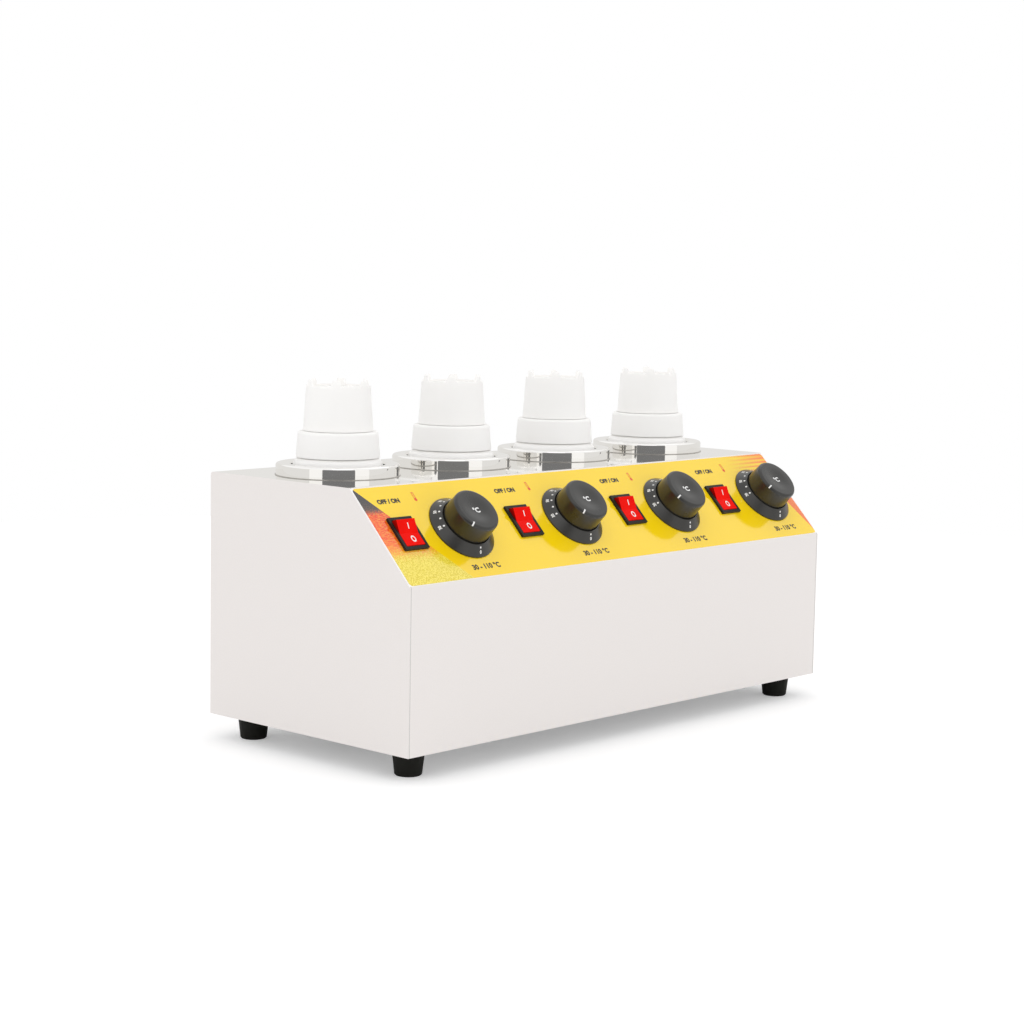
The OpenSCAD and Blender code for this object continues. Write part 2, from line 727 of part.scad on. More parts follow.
// Squeeze bottle, hollow and open at the neck
module bottle(i) color(MILKY) at_well(i) rotate_extrude() difference() {
    union() {
        bottle_outline(0);
        translate([0, shoulder_z]) square([neck_r, neck_top_z - shoulder_z]);
    }
    bottle_outline(bottle_wall);
    translate([0, shoulder_z]) square([neck_r - bottle_wall, neck_top_z - shoulder_z + eps]);
}

// Screw cap with a raised boss and a pouring nozzle
module screw_cap(i) color(MILKY) at_well(i) translate([0, 0, cap_z]) rotate_extrude() {
    boss_top = cap_h + boss_h;
    tip = boss_top + nozzle_h;
    boss_top_r = boss_r - overcap_draft * boss_h / overcap_h;
    rim = [cap_rim_r, 0];
    edge = [cap_top_r, cap_h];
    boss_foot = [boss_r, cap_h];
    boss_edge = [boss_top_r, boss_top];
    nozzle_foot = [nozzle_foot_r, boss_top];
    difference() {
        polygon(concat([[0, 0], rim], rounded(rim, edge, boss_foot, cap_edge_r), [boss_foot],
            rounded(boss_foot, boss_edge, nozzle_foot, boss_edge_r), [nozzle_foot, [nozzle_tip_r, tip], [0, tip]]));
        polygon([
            [0, -eps], [cap_rim_in_r + eps * cap_draft / cap_h, -eps], [neck_r + cap_clear, cap_h - cap_deck_t],
            [boss_top_r - boss_wall, cap_h - cap_deck_t], [boss_top_r - boss_wall, boss_top - boss_wall],
            [nozzle_foot_r - 1.4, boss_top - boss_wall], [nozzle_bore / 2, tip - 4], [nozzle_bore / 2, tip + eps],
            [0, tip + eps]]);
    }
}

// Tapered overcap with a sunk top and a crown of lugs
module overcap(i) color(MILKY) at_well(i) translate([0, 0, overcap_z]) {
    top_t = 1.6;
    sink = 1.5;
    crown_r = overcap_top_r - 2.6;
    crown_turn = 43;
    sink_z = overcap_h - sink;
    slope = overcap_draft / overcap_h;
    foot = [overcap_r, 0];
    edge = [overcap_r - slope * (overcap_h + lug_h), overcap_h + lug_h];
    in_edge = [crown_r, overcap_h + lug_h];
    difference() {
        rotate_extrude() polygon(concat(
            [[0, sink_z - top_t], [overcap_r - overcap_wall - slope * (sink_z - top_t), sink_z - top_t],
                [overcap_r - overcap_wall, 0], foot],
            rounded(foot, edge, in_edge, 0.8), [in_edge, [crown_r, sink_z], [0, sink_z]]));
        for (k = [0:crown_lugs - 1]) rotate(crown_turn + 360 * (k + 0.5) / crown_lugs)
            translate([crown_r / 2, 0, 0]) rotate([90, 0, 90]) linear_extrude(overcap_r) lug_gap();
    }
}

// Front view of the gap between two lugs, wider at its top, with round corners
module lug_gap() {
    half = overcap_top_r * sin(180 / crown_lugs - asin(lug_w / 2 / overcap_top_r));
    lean = 1.2;
    top = overcap_h + lug_h + 0.05;
    far = half + 12;
    left_top = [-half - lean, top];
    left_foot = [-half, overcap_h];
    right_foot = [half, overcap_h];
    right_top = [half + lean, top];
    polygon(concat([[-far, top + 5], [-far, top]],
        rounded([-far, top], left_top, left_foot, 2), rounded(left_top, left_foot, right_foot, 1),
        rounded(left_foot, right_foot, right_top, 1), rounded(right_foot, right_top, [far, top], 2),
        [[far, top], [far, top + 5]]));
}

// Cable gland through the back wall; its bore stays open
module cable_gland() color(BLACK) translate([gland_x, back_y, gland_z]) rotate([-90, 0, 0]) difference() {
    union() {
        cylinder(h = gland_flange_t, d = gland_flange_d);
        translate([0, 0, gland_flange_t]) cylinder(h = gland_out_l - gland_flange_t, d1 = gland_d + 4, d2 = gland_d);
        translate([0, 0, -sheet - gland_in_l]) cylinder(h = sheet + gland_in_l + eps, d = gland_d);
    }
    translate([0, 0, -sheet - gland_in_l - eps])
        cylinder(h = gland_out_l + sheet + gland_in_l + 2 * eps, d = gland_bore);
}

// Nut that holds the gland from inside
module gland_locknut() color(BLACK) translate([gland_x, back_y - sheet, gland_z]) rotate([90, 0, 0]) difference() {
    cylinder(h = gland_nut_t, d = gland_nut_w / cos(30), $fn = 6);
    translate([0, 0, -eps]) cylinder(h = gland_nut_t + 2 * eps, d = gland_d + 0.1);
}

// Terminal block on the base plate
module terminal_block() color("#efe9d8") translate([block_x, block_y, plate_z + sheet]) difference() {
    slab([block_w, block_d, block_h], 0);
    for (k = [0:block_poles - 1], side = [-1, 1])
        translate([(k - (block_poles - 1) / 2) * block_w / block_poles, side * block_d / 4, block_h - 5])
            cylinder(h = 5 + eps, d = 5);
}

// Wires from the terminal block to the switches, thermostats and heaters
module wiring_harness() color("#8a2f2a") {
    trunk = [trunk_y, trunk_z];
    turn = [block_x, trunk_y, trunk_z];
    over_block = [block_x, block_y, trunk_z];
    rod([station_x(0) + switch_dx - 6, trunk.x, trunk.y], [station_x(3) + knob_dx + 16, trunk.x, trunk.y], trunk_r);
    rod(turn, over_block, trunk_r - 0.4);
    translate(over_block) sphere(trunk_r);
    rod(over_block, [block_x, block_y, plate_z + sheet + block_h], trunk_r - 0.6);
    for (i = STATIONS) {
        switch_end = under_console(i, switch_dx, switch_depth + tab_l + 0.3);
        stat_end = under_console(i, knob_dx + 10, sheet + stat_gap + stat_depth + terminal_l + 0.3);
        heater_x = station_x(i) - (heater_r + 4) / sqrt(2);
        heater_y = well_y - (heater_r + 4) / sqrt(2);
        rod([switch_end.x, trunk.x, trunk.y], switch_end, wire_r);
        rod([stat_end.x, trunk.x, trunk.y], stat_end, wire_r);
        rod([heater_x, trunk.x, trunk.y], [heater_x, heater_y, heater_z + 4 - wire_r], wire_r);
    }
}

housing();
end_panels();
base_plate();
control_overlay();
rubber_feet();
foot_screws();
base_screws();
bush_nuts();
cable_gland();
gland_locknut();
terminal_block();
wiring_harness();
for (i = STATIONS) {
    collar_ring(i);
    well_can(i);
    heater_band(i);
    thermostat(i);
    dial_skirt(i);
    knob(i);
    knob_shaft(i);
    switch_housing(i);
    rocker(i);
    bottle(i);
    screw_cap(i);
    overcap(i);
}
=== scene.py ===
"""Dressed scene of the four-bottle sauce warmer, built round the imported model."""
import json
import math

import bmesh
import bpy
from mathutils import Matrix, Vector


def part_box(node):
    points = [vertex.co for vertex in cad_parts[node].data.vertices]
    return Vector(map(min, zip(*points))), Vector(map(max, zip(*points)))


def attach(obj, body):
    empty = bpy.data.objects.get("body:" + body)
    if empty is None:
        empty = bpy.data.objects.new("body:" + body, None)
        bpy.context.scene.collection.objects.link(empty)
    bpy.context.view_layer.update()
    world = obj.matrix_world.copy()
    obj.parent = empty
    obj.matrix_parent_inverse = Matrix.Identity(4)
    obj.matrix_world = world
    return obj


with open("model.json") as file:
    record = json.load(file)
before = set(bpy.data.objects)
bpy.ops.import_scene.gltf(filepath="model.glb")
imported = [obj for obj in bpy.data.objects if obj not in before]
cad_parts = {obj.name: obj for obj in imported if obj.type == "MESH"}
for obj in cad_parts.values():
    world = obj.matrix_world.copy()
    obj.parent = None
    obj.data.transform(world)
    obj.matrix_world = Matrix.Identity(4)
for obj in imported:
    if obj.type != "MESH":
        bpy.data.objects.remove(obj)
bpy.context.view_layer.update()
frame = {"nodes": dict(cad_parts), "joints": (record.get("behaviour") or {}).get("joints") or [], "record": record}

MM = 0.001
STATIONS = (1, 2, 3, 4)
JOINTS = {joint["name"]: joint for joint in frame["joints"]}

# Heights above the bare console and radii about a knob's axis, as the model has them
FILM_T = 0.3 * MM
SKIRT_RIM = (29.4 * MM, FILM_T + 1.2 * MM)
SKIRT_TOP = (22.3 * MM, FILM_T + 7.6 * MM)
KNOB_H = 24.2 * MM
KNOB_TOP_R = 20.1 * MM
KNOB_EDGE_R = 2.6 * MM
DISH_R = 15 * MM
DISH_DEPTH = 1.8 * MM
ROCKER_TILT = math.radians(11)
ROCKER_CREASE = (-0.64 * MM, 2.5 * MM)

# The dial: the scale starts at nine o'clock, 90 degrees after the zero at six, and runs clockwise
ZERO_ANGLE = 270
SCALE_START = 90
SCALE_STEP = 17.5
SCALE = range(30, 111, 10)
NUMBERED = (30, 50, 70, 90, 110)
DOT_CIRCLE_R = 23.9 * MM
NUMBER_CIRCLE_R = 26.4 * MM
DIAL_DOT_R = 0.85 * MM
NUMBER_OUT = 3.3 * MM
NUMBER_SIZE = 3.4 * MM
ZERO_SIZE = 3.6 * MM

# Half the print's thickness, and how much bolder than the font the letters are
INK_T = 0.05 * MM
DIAL_WEIGHT = 0.12 * MM
UNIT_WEIGHT = 0.24 * MM
RANGE_WEIGHT = 0.28 * MM
SWITCH_WEIGHT = 0.34 * MM

# Steps of the letters' curves, and corners of a printed disc and of each edge of a ring
LETTER_STEPS = 4
DISC_SIDES = 20
RING_SIDES = 32

# Print on the film: size of letters, and places along and up the console from a switch's or knob's axis
SWITCH_WORD_SIZE = 5.6 * MM
SWITCH_WORD_AT = (1.5 * MM, 32 * MM)
RANGE_WORD_SIZE = 6.4 * MM
RANGE_WORD_AT = (1.5 * MM, -37.6 * MM)
THERMOMETER_AT = (-28.5 * MM, 34.4 * MM)

# A thermometer: its lines, the tube's height, half width and middle, the lid's width and place, the bulb
THERMOMETER_LINE = 0.6 * MM
TUBE_H, TUBE_HALF, TUBE_UP = 5.6 * MM, 0.85 * MM, 1.0 * MM
LID_W, LID_UP = 2.3 * MM, 4.0 * MM
BULB_R, BULB_DOWN = 1.5 * MM, 2.9 * MM

# A knob's mark: half its width, how far onto the flat it reaches, and how far down the round edge
POINTER_HALF = 0.6 * MM
POINTER_IN = 1.1 * MM
POINTER_DOWN = 75
POINTER_STEPS = 8
UNIT_SIZE = 6.4 * MM

# A rocker's marks: the bar's width and height, the ring's radii and stretch, and their places
ROCKER_BAR = (0.9 * MM, 4.8 * MM)
ROCKER_BAR_AT = (1.2 * MM, 6.0 * MM)
ROCKER_RING = (2.3 * MM, 1.4 * MM)
ROCKER_RING_AT = (1.2 * MM, -5.4 * MM)
ROCKER_RING_TALL = 1.3

# Where most of a noise's values lie
NOISE_LOW, NOISE_HIGH = 0.3, 0.7

# Faces count as flat tops, or as sides that look along X (which get painted shade), from these shares of the
# normal, and as part of the rim round the film (which gets a painted highlight) up to this difference from the
# console's
TOP_NORMAL = 0.97
SIDE_NORMAL = 0.9
RIM_NORMAL_OFF = 0.02

# Share of the light that scatters inside the milky plastic, and how far it gets
MILKY_SHARE = 0.35
MILKY_DEPTH = 1.5 * MM

# The seam between each end panel and the folded sheet: how far in from the end, and its width
SEAM_IN = 1.2 * MM
SEAM_W = 0.6 * MM

# The bevel asked for on the switches' edges, of which the limit against overlaps leaves less than
# 0.02 mm on these fine meshes; its steps, its least angle, and how near faces are joined
SMALL_EDGE_R = 0.5 * MM
EDGE_SEGMENTS = 3
SHARP_EDGE = math.radians(50)
WELD_DISTANCE = 0.01 * MM

# The flange under each collar: how far it stands out and reaches in, its thickness, and its sides
FLANGE_W = 0.7 * MM
FLANGE_IN = 0.05 * MM
FLANGE_T = 0.5 * MM
FLANGE_SIDES = 96

# The photograph's view: place, turn, dip and roll of the camera
CAMERA_AT = (-1.418, -1.292, 0.394)
CAMERA_AZIMUTH = 47.27
CAMERA_DIP = 6.48
CAMERA_ROLL = 1.01
CAMERA_LENS = 78.9
SENSOR_W = 36
CLIP_START = 0.05
TOWARDS_CAMERA = math.radians(270 - CAMERA_AZIMUTH)

# What mirrors see: a card between two panels, in degrees about the camera's side, and white above
CARD_FROM, CARD_TO = -24, 36
PANEL_FROM, PANEL_TO = -50, 64
OVERHEAD_FROM, OVERHEAD_FULL = 0.35, 0.5

# The floor, and the light that it adds for the camera, which makes the shadow on it paler
FLOOR_R = 1.5
FLOOR_SIDES = 96
FLOOR_GLOW = 0.28

# Power and place of each lamp, their size, and the point that they face
LAMPS = {"front_lamp": (0.8, (-0.75, -0.9, 1.3)), "top_lamp": (0.8, (0.9, 0.3, 1.5))}
LAMP_SIZE = 0.9
LAMP_AIM = Vector((0, 0, 0.15))


# Camera

def make_camera():
    az, dip, roll = (math.radians(a) for a in (CAMERA_AZIMUTH, CAMERA_DIP, CAMERA_ROLL))
    ahead = Vector((math.sin(az) * math.cos(dip), math.cos(az) * math.cos(dip), -math.sin(dip)))
    level = Vector((math.cos(az), -math.sin(az), 0))
    above = level.cross(ahead)
    right = level * math.cos(roll) + above * math.sin(roll)
    up = above * math.cos(roll) - level * math.sin(roll)
    camera = bpy.data.objects.new("camera", bpy.data.cameras.new("camera"))
    camera.data.lens = CAMERA_LENS
    camera.data.sensor_width = SENSOR_W
    camera.data.clip_start = CLIP_START
    place = Matrix((right, up, -ahead)).transposed().to_4x4()
    place.translation = Vector(CAMERA_AT)
    camera.matrix_world = place
    bpy.context.scene.collection.objects.link(camera)
    bpy.context.scene.camera = camera


# Shader nodes

class Nodes:
    """Short calls that add nodes to a tree and join them."""

    def __init__(self, tree):
        self.tree = tree

    def add(self, kind, **values):
        node = self.tree.nodes.new(kind)
        for key, value in values.items():
            setattr(node, key, value)
        return node

    def join(self, source, target):
        self.tree.links.new(source, target)

    def feed(self, socket, value):
        """A link or a plain value into a socket."""
        if isinstance(value, bpy.types.NodeSocket):
            self.join(value, socket)
        elif isinstance(value, tuple) and len(value) == 3 and socket.type == "RGBA":
            socket.default_value = (*value, 1)
        else:
            socket.default_value = value

    def split(self, vector):
        parts = self.add("ShaderNodeSeparateXYZ")
        self.join(vector, parts.inputs[0])
        return parts.outputs

    def math(self, operation, *args):
        node = self.add("ShaderNodeMath", operation=operation)
        for socket, arg in zip(node.inputs, args):
            self.feed(socket, arg)
        return node.outputs[0]

    def ramp(self, source, *stops, mode="LINEAR"):
        node = self.add("ShaderNodeValToRGB")
        node.color_ramp.interpolation = mode
        elements = node.color_ramp.elements
        while len(elements) < len(stops):
            elements.new(1)
        for element, (at, color) in zip(elements, stops):
            element.position = at
            element.color = (*color, 1)
        self.join(source, node.inputs[0])
        return node.outputs["Color"]

    def mix(self, factor, a, b):
        node = self.add("ShaderNodeMix", data_type="RGBA")
        for index, value in ((0, factor), (6, a), (7, b)):
            self.feed(node.inputs[index], value)
        return node.outputs[2]

    def span(self, source, low, high, to_low=0.0, to_high=1.0):
        node = self.add("ShaderNodeMapRange")
        for socket, value in zip(node.inputs[1:5], (low, high, to_low, to_high)):
            socket.default_value = value
        self.join(source, node.inputs[0])
        return node.outputs[0]


class Shader(Nodes):
    """A material with its Principled shader."""

    def __init__(self, name, color=(0.8, 0.8, 0.8), rough=0.5, metal=0.0, **sockets):
        self.mat = bpy.data.materials.new(name)
        self.mat.use_nodes = True
        super().__init__(self.mat.node_tree)
        self.bsdf = self.tree.nodes["Principled BSDF"]
        for socket, value in {"Base_Color": color, "Roughness": rough, "Metallic": metal, **sockets}.items():
            self.feed(self.bsdf.inputs[socket.replace("_", " ")], value)

    def into(self, source, socket):
        self.join(source, self.bsdf.inputs[socket])

    def place(self):
        return self.add("ShaderNodeTexCoord").outputs["Object"]

    def normal(self):
        return self.split(self.add("ShaderNodeNewGeometry").outputs["True Normal"])

    def dot(self, vector, direction):
        node = self.add("ShaderNodeVectorMath", operation="DOT_PRODUCT")
        self.join(vector, node.inputs[0])
        node.inputs[1].default_value = direction
        return node.outputs["Value"]

    def noise(self, scale, detail=3.0, rough=0.5, stretch=(1, 1, 1)):
        mapping = self.add("ShaderNodeMapping")
        mapping.inputs["Scale"].default_value = stretch
        self.join(self.place(), mapping.inputs["Vector"])
        node = self.add("ShaderNodeTexNoise")
        node.inputs["Scale"].default_value = scale
        node.inputs["Detail"].default_value = detail
        node.inputs["Roughness"].default_value = rough
        self.join(mapping.outputs[0], node.inputs["Vector"])
        return node.outputs["Fac"]

    def spread(self, noise, to_low=0.0, to_high=1.0):
        """Most of a noise's values, stretched over a range."""
        return self.span(noise, NOISE_LOW, NOISE_HIGH, to_low, to_high)

    def bump(self, source, strength, distance):
        node = self.add("ShaderNodeBump")
        node.inputs["Strength"].default_value = strength
        node.inputs["Distance"].default_value = distance
        self.join(source, node.inputs["Height"])
        self.into(node.outputs[0], "Normal")


class Console:
    """The sloping console: X along it, up its slope, and out of it."""

    def __init__(self):
        joint = JOINTS["knob_turn_1"]
        self.out = -Vector(joint["axis"])
        self.up = Vector((0, self.out.z, -self.out.y))
        self.middle = Vector((0, *joint["pos_m"][1:]))

    def point(self, x, up, out):
        return self.middle + Vector((x, 0, 0)) + self.up * up + self.out * out

    def knob_x(self, n):
        return JOINTS[f"knob_turn_{n}"]["pos_m"][0]

    def switch_x(self, n):
        return JOINTS[f"rocker_press_{n}"]["pos_m"][0]


console = Console()


# Materials

def case_grey():
    """Satin light grey walls, a fine seam at each end, a painted highlight on the rim round the film and a
    polished top.
    """
    wall_low, wall_high = (0.820, 0.780, 0.760), (0.840, 0.800, 0.780)
    seam_grey, painted_rim_highlight, top_steel = (0.50, 0.50, 0.48), (0.97, 0.96, 0.95), (0.93, 0.92, 0.90)
    wall_rough, top_rough = 0.42, 0.05
    s = Shader("case_grey", rough=wall_rough, IOR=1.45)
    grain = s.noise(900, detail=2)
    wall = s.mix(s.spread(grain), wall_low, wall_high)
    from_end = s.math("SUBTRACT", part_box("end_panels")[1].x, s.math("ABSOLUTE", s.split(s.place())[0]))
    seam = s.math("LESS_THAN", s.math("ABSOLUTE", s.math("SUBTRACT", from_end, SEAM_IN)), SEAM_W / 2)
    upward = s.normal()[2]
    # Painted highlight: the rim's faces, which face the same way as the console, are coloured near white
    rim = s.math("COMPARE", upward, console.out.z, RIM_NORMAL_OFF)
    top = s.math("GREATER_THAN", upward, TOP_NORMAL)
    painted = s.mix(rim, s.mix(seam, wall, seam_grey), painted_rim_highlight)
    s.into(s.mix(top, painted, top_steel), "Base Color")
    s.into(top, "Metallic")
    s.into(s.span(top, 0, 1, wall_rough, top_rough), "Roughness")
    s.bump(grain, 0.02, 0.02 * MM)
    return s.mat


def polished_steel():
    s = Shader("polished_steel", (0.93, 0.92, 0.90), 0.04, metal=1.0)
    s.into(s.span(s.noise(60, detail=4), 0.35, 0.75, 0.02, 0.06), "Roughness")
    return s.mat


def well_steel():
    """Drawn steel with fine rings from the drawing."""
    s = Shader("well_steel", (0.72, 0.71, 0.70), 0.25, metal=1.0)
    rings = s.noise(30, detail=2, stretch=(1, 1, 120))
    s.into(s.spread(rings, 0.18, 0.34), "Roughness")
    s.bump(rings, 0.1, 0.03 * MM)
    return s.mat


def plain_steel():
    """Satin steel with its grain along X."""
    s = Shader("plain_steel", (0.60, 0.60, 0.60), 0.35, metal=1.0)
    grain = s.noise(40, detail=3, stretch=(2, 60, 60))
    s.into(s.spread(grain, 0.28, 0.45), "Roughness")
    s.bump(grain, 0.08, 0.02 * MM)
    return s.mat


def moulded_black(name, color, rough, grain_scale, gloss=0.5):
    """Black plastic or rubber with a fine moulded grain and slightly worn gloss."""
    s = Shader(name, color, rough, Specular_IOR_Level=gloss)
    grain = s.noise(grain_scale, detail=2)
    patches = s.noise(55, detail=4)
    s.into(s.mix(s.span(patches, 0.35, 0.7), color, tuple(c * 1.25 for c in color)), "Base Color")
    s.into(s.spread(patches, rough - 0.04, rough + 0.06), "Roughness")
    s.bump(grain, 0.12, 0.03 * MM)
    return s.mat


def red_plastic():
    """Gloss red, with painted shade on the faces that look along X."""
    red_low, red_high, painted_shade_red = (0.84, 0.004, 0.001), (0.92, 0.006, 0.002), (0.36, 0.003, 0.001)
    s = Shader("red_plastic", red_low, 0.3, IOR=1.3, Specular_IOR_Level=0.1)
    face = s.mix(s.spread(s.noise(90, detail=2)), red_low, red_high)
    # Painted shade: the rocker's faces that look along X are coloured a much deeper red
    painted_shade_faces = s.math("GREATER_THAN", s.math("ABSOLUTE", s.normal()[0]), SIDE_NORMAL)
    s.into(s.mix(painted_shade_faces, face, painted_shade_red), "Base Color")
    s.bump(s.noise(1500, detail=1), 0.05, 0.01 * MM)
    return s.mat


def milky_plastic():
    """Milky polypropylene: light scatters inside it, so its creases and edges look soft."""
    milk_low, milk_high = (0.98, 0.965, 0.94), (0.99, 0.975, 0.955)
    s = Shader("milky_plastic", milk_low, 0.35, IOR=1.3, Specular_IOR_Level=0.3,
               Subsurface_Weight=MILKY_SHARE, Subsurface_Radius=(1, 1, 1), Subsurface_Scale=MILKY_DEPTH)
    cloud = s.noise(45, detail=3)
    s.into(s.mix(s.spread(cloud), milk_low, milk_high), "Base Color")
    s.into(s.spread(cloud, 0.30, 0.42), "Roughness")
    s.bump(s.noise(700, detail=2), 0.03, 0.02 * MM)
    return s.mat


def flecked(name, low, high, scale, rough, metal=0.0):
    """A plain finish whose tone wanders between two colours."""
    s = Shader(name, low, rough, metal=metal)
    fleck = s.noise(scale, detail=3)
    s.into(s.mix(s.spread(fleck), low, high), "Base Color")
    s.bump(fleck, 0.05, 0.03 * MM)
    return s.mat


def ink(name, color):
    s = Shader(name, color, 0.45)
    worn = tuple(c * 0.92 for c in color)
    s.into(s.mix(s.spread(s.noise(1200, detail=1)), color, worn), "Base Color")
    return s.mat


def film_wedge(s, share_up, grain):
    """The wedge's print: speckled yellow at its foot, then brushed orange and red, then near black."""
    speckle_low, speckle_high = (0.76, 0.60, 0.02), (0.98, 0.82, 0.12)
    orange, red, deep_red = (1.0, 0.42, 0.012), (0.94, 0.085, 0.006), (0.86, 0.035, 0.003)
    brush_orange, brown, near_black = (1.0, 0.36, 0.03), (0.13, 0.07, 0.05), (0.04, 0.036, 0.036)
    warm = s.math("ADD", share_up, s.spread(grain, -0.08, 0.08))
    dots = s.noise(750, detail=1, rough=0.8)
    speckled = s.mix(s.span(dots, 0.42, 0.58), speckle_low, speckle_high)
    streaks = s.noise(300, detail=4, rough=0.8, stretch=(1, 4, 4))
    red_to_orange = s.ramp(warm, (0.30, orange), (0.42, red), (0.75, deep_red))
    brushed = s.mix(s.span(streaks, 0.46, 0.60), red_to_orange, brush_orange)
    dark = s.mix(s.span(warm, 0.76, 0.84), brown, near_black)
    into_dark = s.span(s.math("ADD", share_up, s.spread(grain, -0.03, 0.03)), 0.725, 0.765)
    return s.mix(s.span(warm, 0.26, 0.36), speckled, s.mix(into_dark, brushed, dark))


def film_right_end(s, share_up, from_right, grain, ground):
    """Orange stripes that fade in towards the upper right corner, and a red corner below them."""
    orange, red_low, red_high = (0.95, 0.22, 0.015), (0.90, 0.13, 0.02), (0.98, 0.26, 0.03)
    stripe_count, stripe_gap, stripes_from = 22.0, 0.55, 0.80
    corner_w, corner_from = 30 * MM, 0.04
    stripe = s.math("FRACT", s.math("MULTIPLY", share_up, stripe_count))
    lines = s.math("MULTIPLY", s.math("GREATER_THAN", stripe, stripe_gap),
                   s.math("GREATER_THAN", share_up, stripes_from))
    fade_in = s.span(from_right, 58 * MM, 4 * MM)
    glow = s.math("MULTIPLY", s.span(share_up, 0.86, 1.0), s.span(from_right, 40 * MM, 0.0))
    striped = s.mix(s.math("MULTIPLY", lines, fade_in), ground, orange)
    striped = s.mix(s.math("MULTIPLY", glow, 0.9), striped, orange)
    corner_edge = s.math("MULTIPLY", s.math("SUBTRACT", share_up, corner_from), corner_w)
    in_corner = s.math("MULTIPLY", s.math("LESS_THAN", from_right, corner_edge),
                       s.math("LESS_THAN", share_up, stripes_from))
    red = s.mix(s.span(grain, 0.35, 0.65), red_low, red_high)
    return s.mix(in_corner, striped, red)


def printed_film():
    """Gloss over a yellow print, with a dark to red to yellow wedge at its left end
    and orange stripes and a red corner at its right end."""
    yellow = (1.0, 0.685, 0.003)
    wedge_w = 68 * MM
    low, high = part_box("control_overlay")
    run = Vector((0, high.y - low.y, high.z - low.z)).length
    s = Shader("printed_film", rough=0.1, IOR=1.75)
    place = s.place()
    x = s.split(place)[0]
    up = s.math("SUBTRACT", s.dot(place, console.up), console.middle.dot(console.up))
    share_up = s.span(up, -run / 2, run / 2)
    from_left = s.math("SUBTRACT", x, low.x)
    from_right = s.math("SUBTRACT", high.x, x)
    grain = s.noise(1400, detail=2, rough=0.7)
    wedge_edge = s.math("MULTIPLY", s.math("SUBTRACT", 1.0, share_up), wedge_w)
    in_wedge = s.math("LESS_THAN", from_left, wedge_edge)
    ground = s.mix(in_wedge, yellow, film_wedge(s, share_up, grain))
    s.into(film_right_end(s, share_up, from_right, grain, ground), "Base Color")
    s.bump(s.noise(500, detail=2), 0.02, 0.005 * MM)
    return s.mat


FINISHES = {
    "case_steel": case_grey(),
    "plain_steel": plain_steel(),
    "polished_steel": polished_steel(),
    "well_steel": well_steel(),
    "printed_film": printed_film(),
    "black_rubber": moulded_black("black_rubber", (0.009, 0.009, 0.007), 0.6, 700, gloss=0.15),
    "black_plastic": moulded_black("black_plastic", (0.020, 0.019, 0.017), 0.38, 1500),
    "red_plastic": red_plastic(),
    "milky_plastic": milky_plastic(),
    "heater_mat": flecked("heater_mat", (0.33, 0.13, 0.07), (0.40, 0.17, 0.09), 200, 0.7),
    "stat_body": flecked("stat_body", (0.60, 0.47, 0.25), (0.66, 0.52, 0.29), 150, 0.5),
    "ceramic": flecked("ceramic", (0.80, 0.76, 0.66), (0.86, 0.82, 0.73), 90, 0.3),
    "wire": flecked("wire", (0.25, 0.03, 0.02), (0.33, 0.05, 0.03), 120, 0.45),
}
KNOB_BLACK = moulded_black("knob_black", (0.013, 0.012, 0.010), 0.30, 1500, gloss=0.7)
BEZEL_BLACK = moulded_black("bezel_black", (0.013, 0.012, 0.010), 0.45, 1500, gloss=0.25)
SATIN_FLANGE = flecked("satin_flange", (0.40, 0.38, 0.35), (0.50, 0.48, 0.45), 250, 0.3, metal=0.6)
WHITE_INK = ink("white_ink", (0.93, 0.93, 0.92))
DARK_INK = ink("dark_ink", (0.03, 0.025, 0.02))
RED_INK = ink("red_ink", (0.85, 0.10, 0.03))


# The model's own pieces

def dress_nodes():
    """Each node in its slot's finish; knobs and dials are glossier, and bezels duller, than other plastic."""
    kinds = (("knob", KNOB_BLACK), ("dial_skirt", KNOB_BLACK), ("switch_housing", BEZEL_BLACK))
    special = {f"{kind}_{n}": finish for kind, finish in kinds for n in STATIONS}
    for part in frame["record"]["subparts"]:
        node = frame["nodes"][part["node"]]
        node.data.materials.clear()
        node.data.materials.append(special.get(part["node"], FINISHES[part["material_slot"]]))


def round_switch_edges():
    """A very fine bevel on the moulded switches, whose faces are joined first to share their edges."""
    for n in STATIONS:
        for kind in ("switch_housing", "rocker"):
            node = frame["nodes"][f"{kind}_{n}"]
            weld = node.modifiers.new("joined_faces", "WELD")
            weld.merge_threshold = WELD_DISTANCE
            bevel = node.modifiers.new("soft_edges", "BEVEL")
            bevel.width = SMALL_EDGE_R
            bevel.segments = EDGE_SEGMENTS
            bevel.limit_method = "ANGLE"
            bevel.angle_limit = SHARP_EDGE
            bevel.harden_normals = True


# Pieces of the scene's own

def mesh_object(name, bm, material):
    """A linked object with the mesh of bm, which is freed, in one material."""
    mesh = bpy.data.meshes.new(name)
    bm.to_mesh(mesh)
    bm.free()
    mesh.materials.append(material)
    piece = bpy.data.objects.new(name, mesh)
    bpy.context.scene.collection.objects.link(piece)
    return piece


def make_collar_flanges():
    """The thin flange that each collar stands on, a hair wider than its wall."""
    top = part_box("housing")[1].z
    profile = ((0, 0), (FLANGE_W, 0), (FLANGE_W, FLANGE_T), (0, FLANGE_T))
    for n in STATIONS:
        low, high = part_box(f"collar_ring_{n}")
        middle, inner_r = (low + high) / 2, (high.x - low.x) / 2 - FLANGE_IN
        section = [(inner_r + out, top + up) for out, up in profile]
        bm = bmesh.new()
        rings = []
        for k in range(FLANGE_SIDES):
            q = math.tau * k / FLANGE_SIDES
            rings.append([bm.verts.new((middle.x + r * math.cos(q), middle.y + r * math.sin(q), z))
                          for r, z in section])
        for a, b in zip(rings, rings[1:] + rings[:1]):
            for j in range(len(profile)):
                bm.faces.new((a[j - 1], a[j], b[j], b[j - 1]))
        bmesh.ops.recalc_face_normals(bm, faces=bm.faces)
        flange = mesh_object(f"collar_flange_{n}", bm, SATIN_FLANGE)
        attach(flange, "root")


# Printed marks: flat shapes with a hair of thickness, laid on a surface by a function

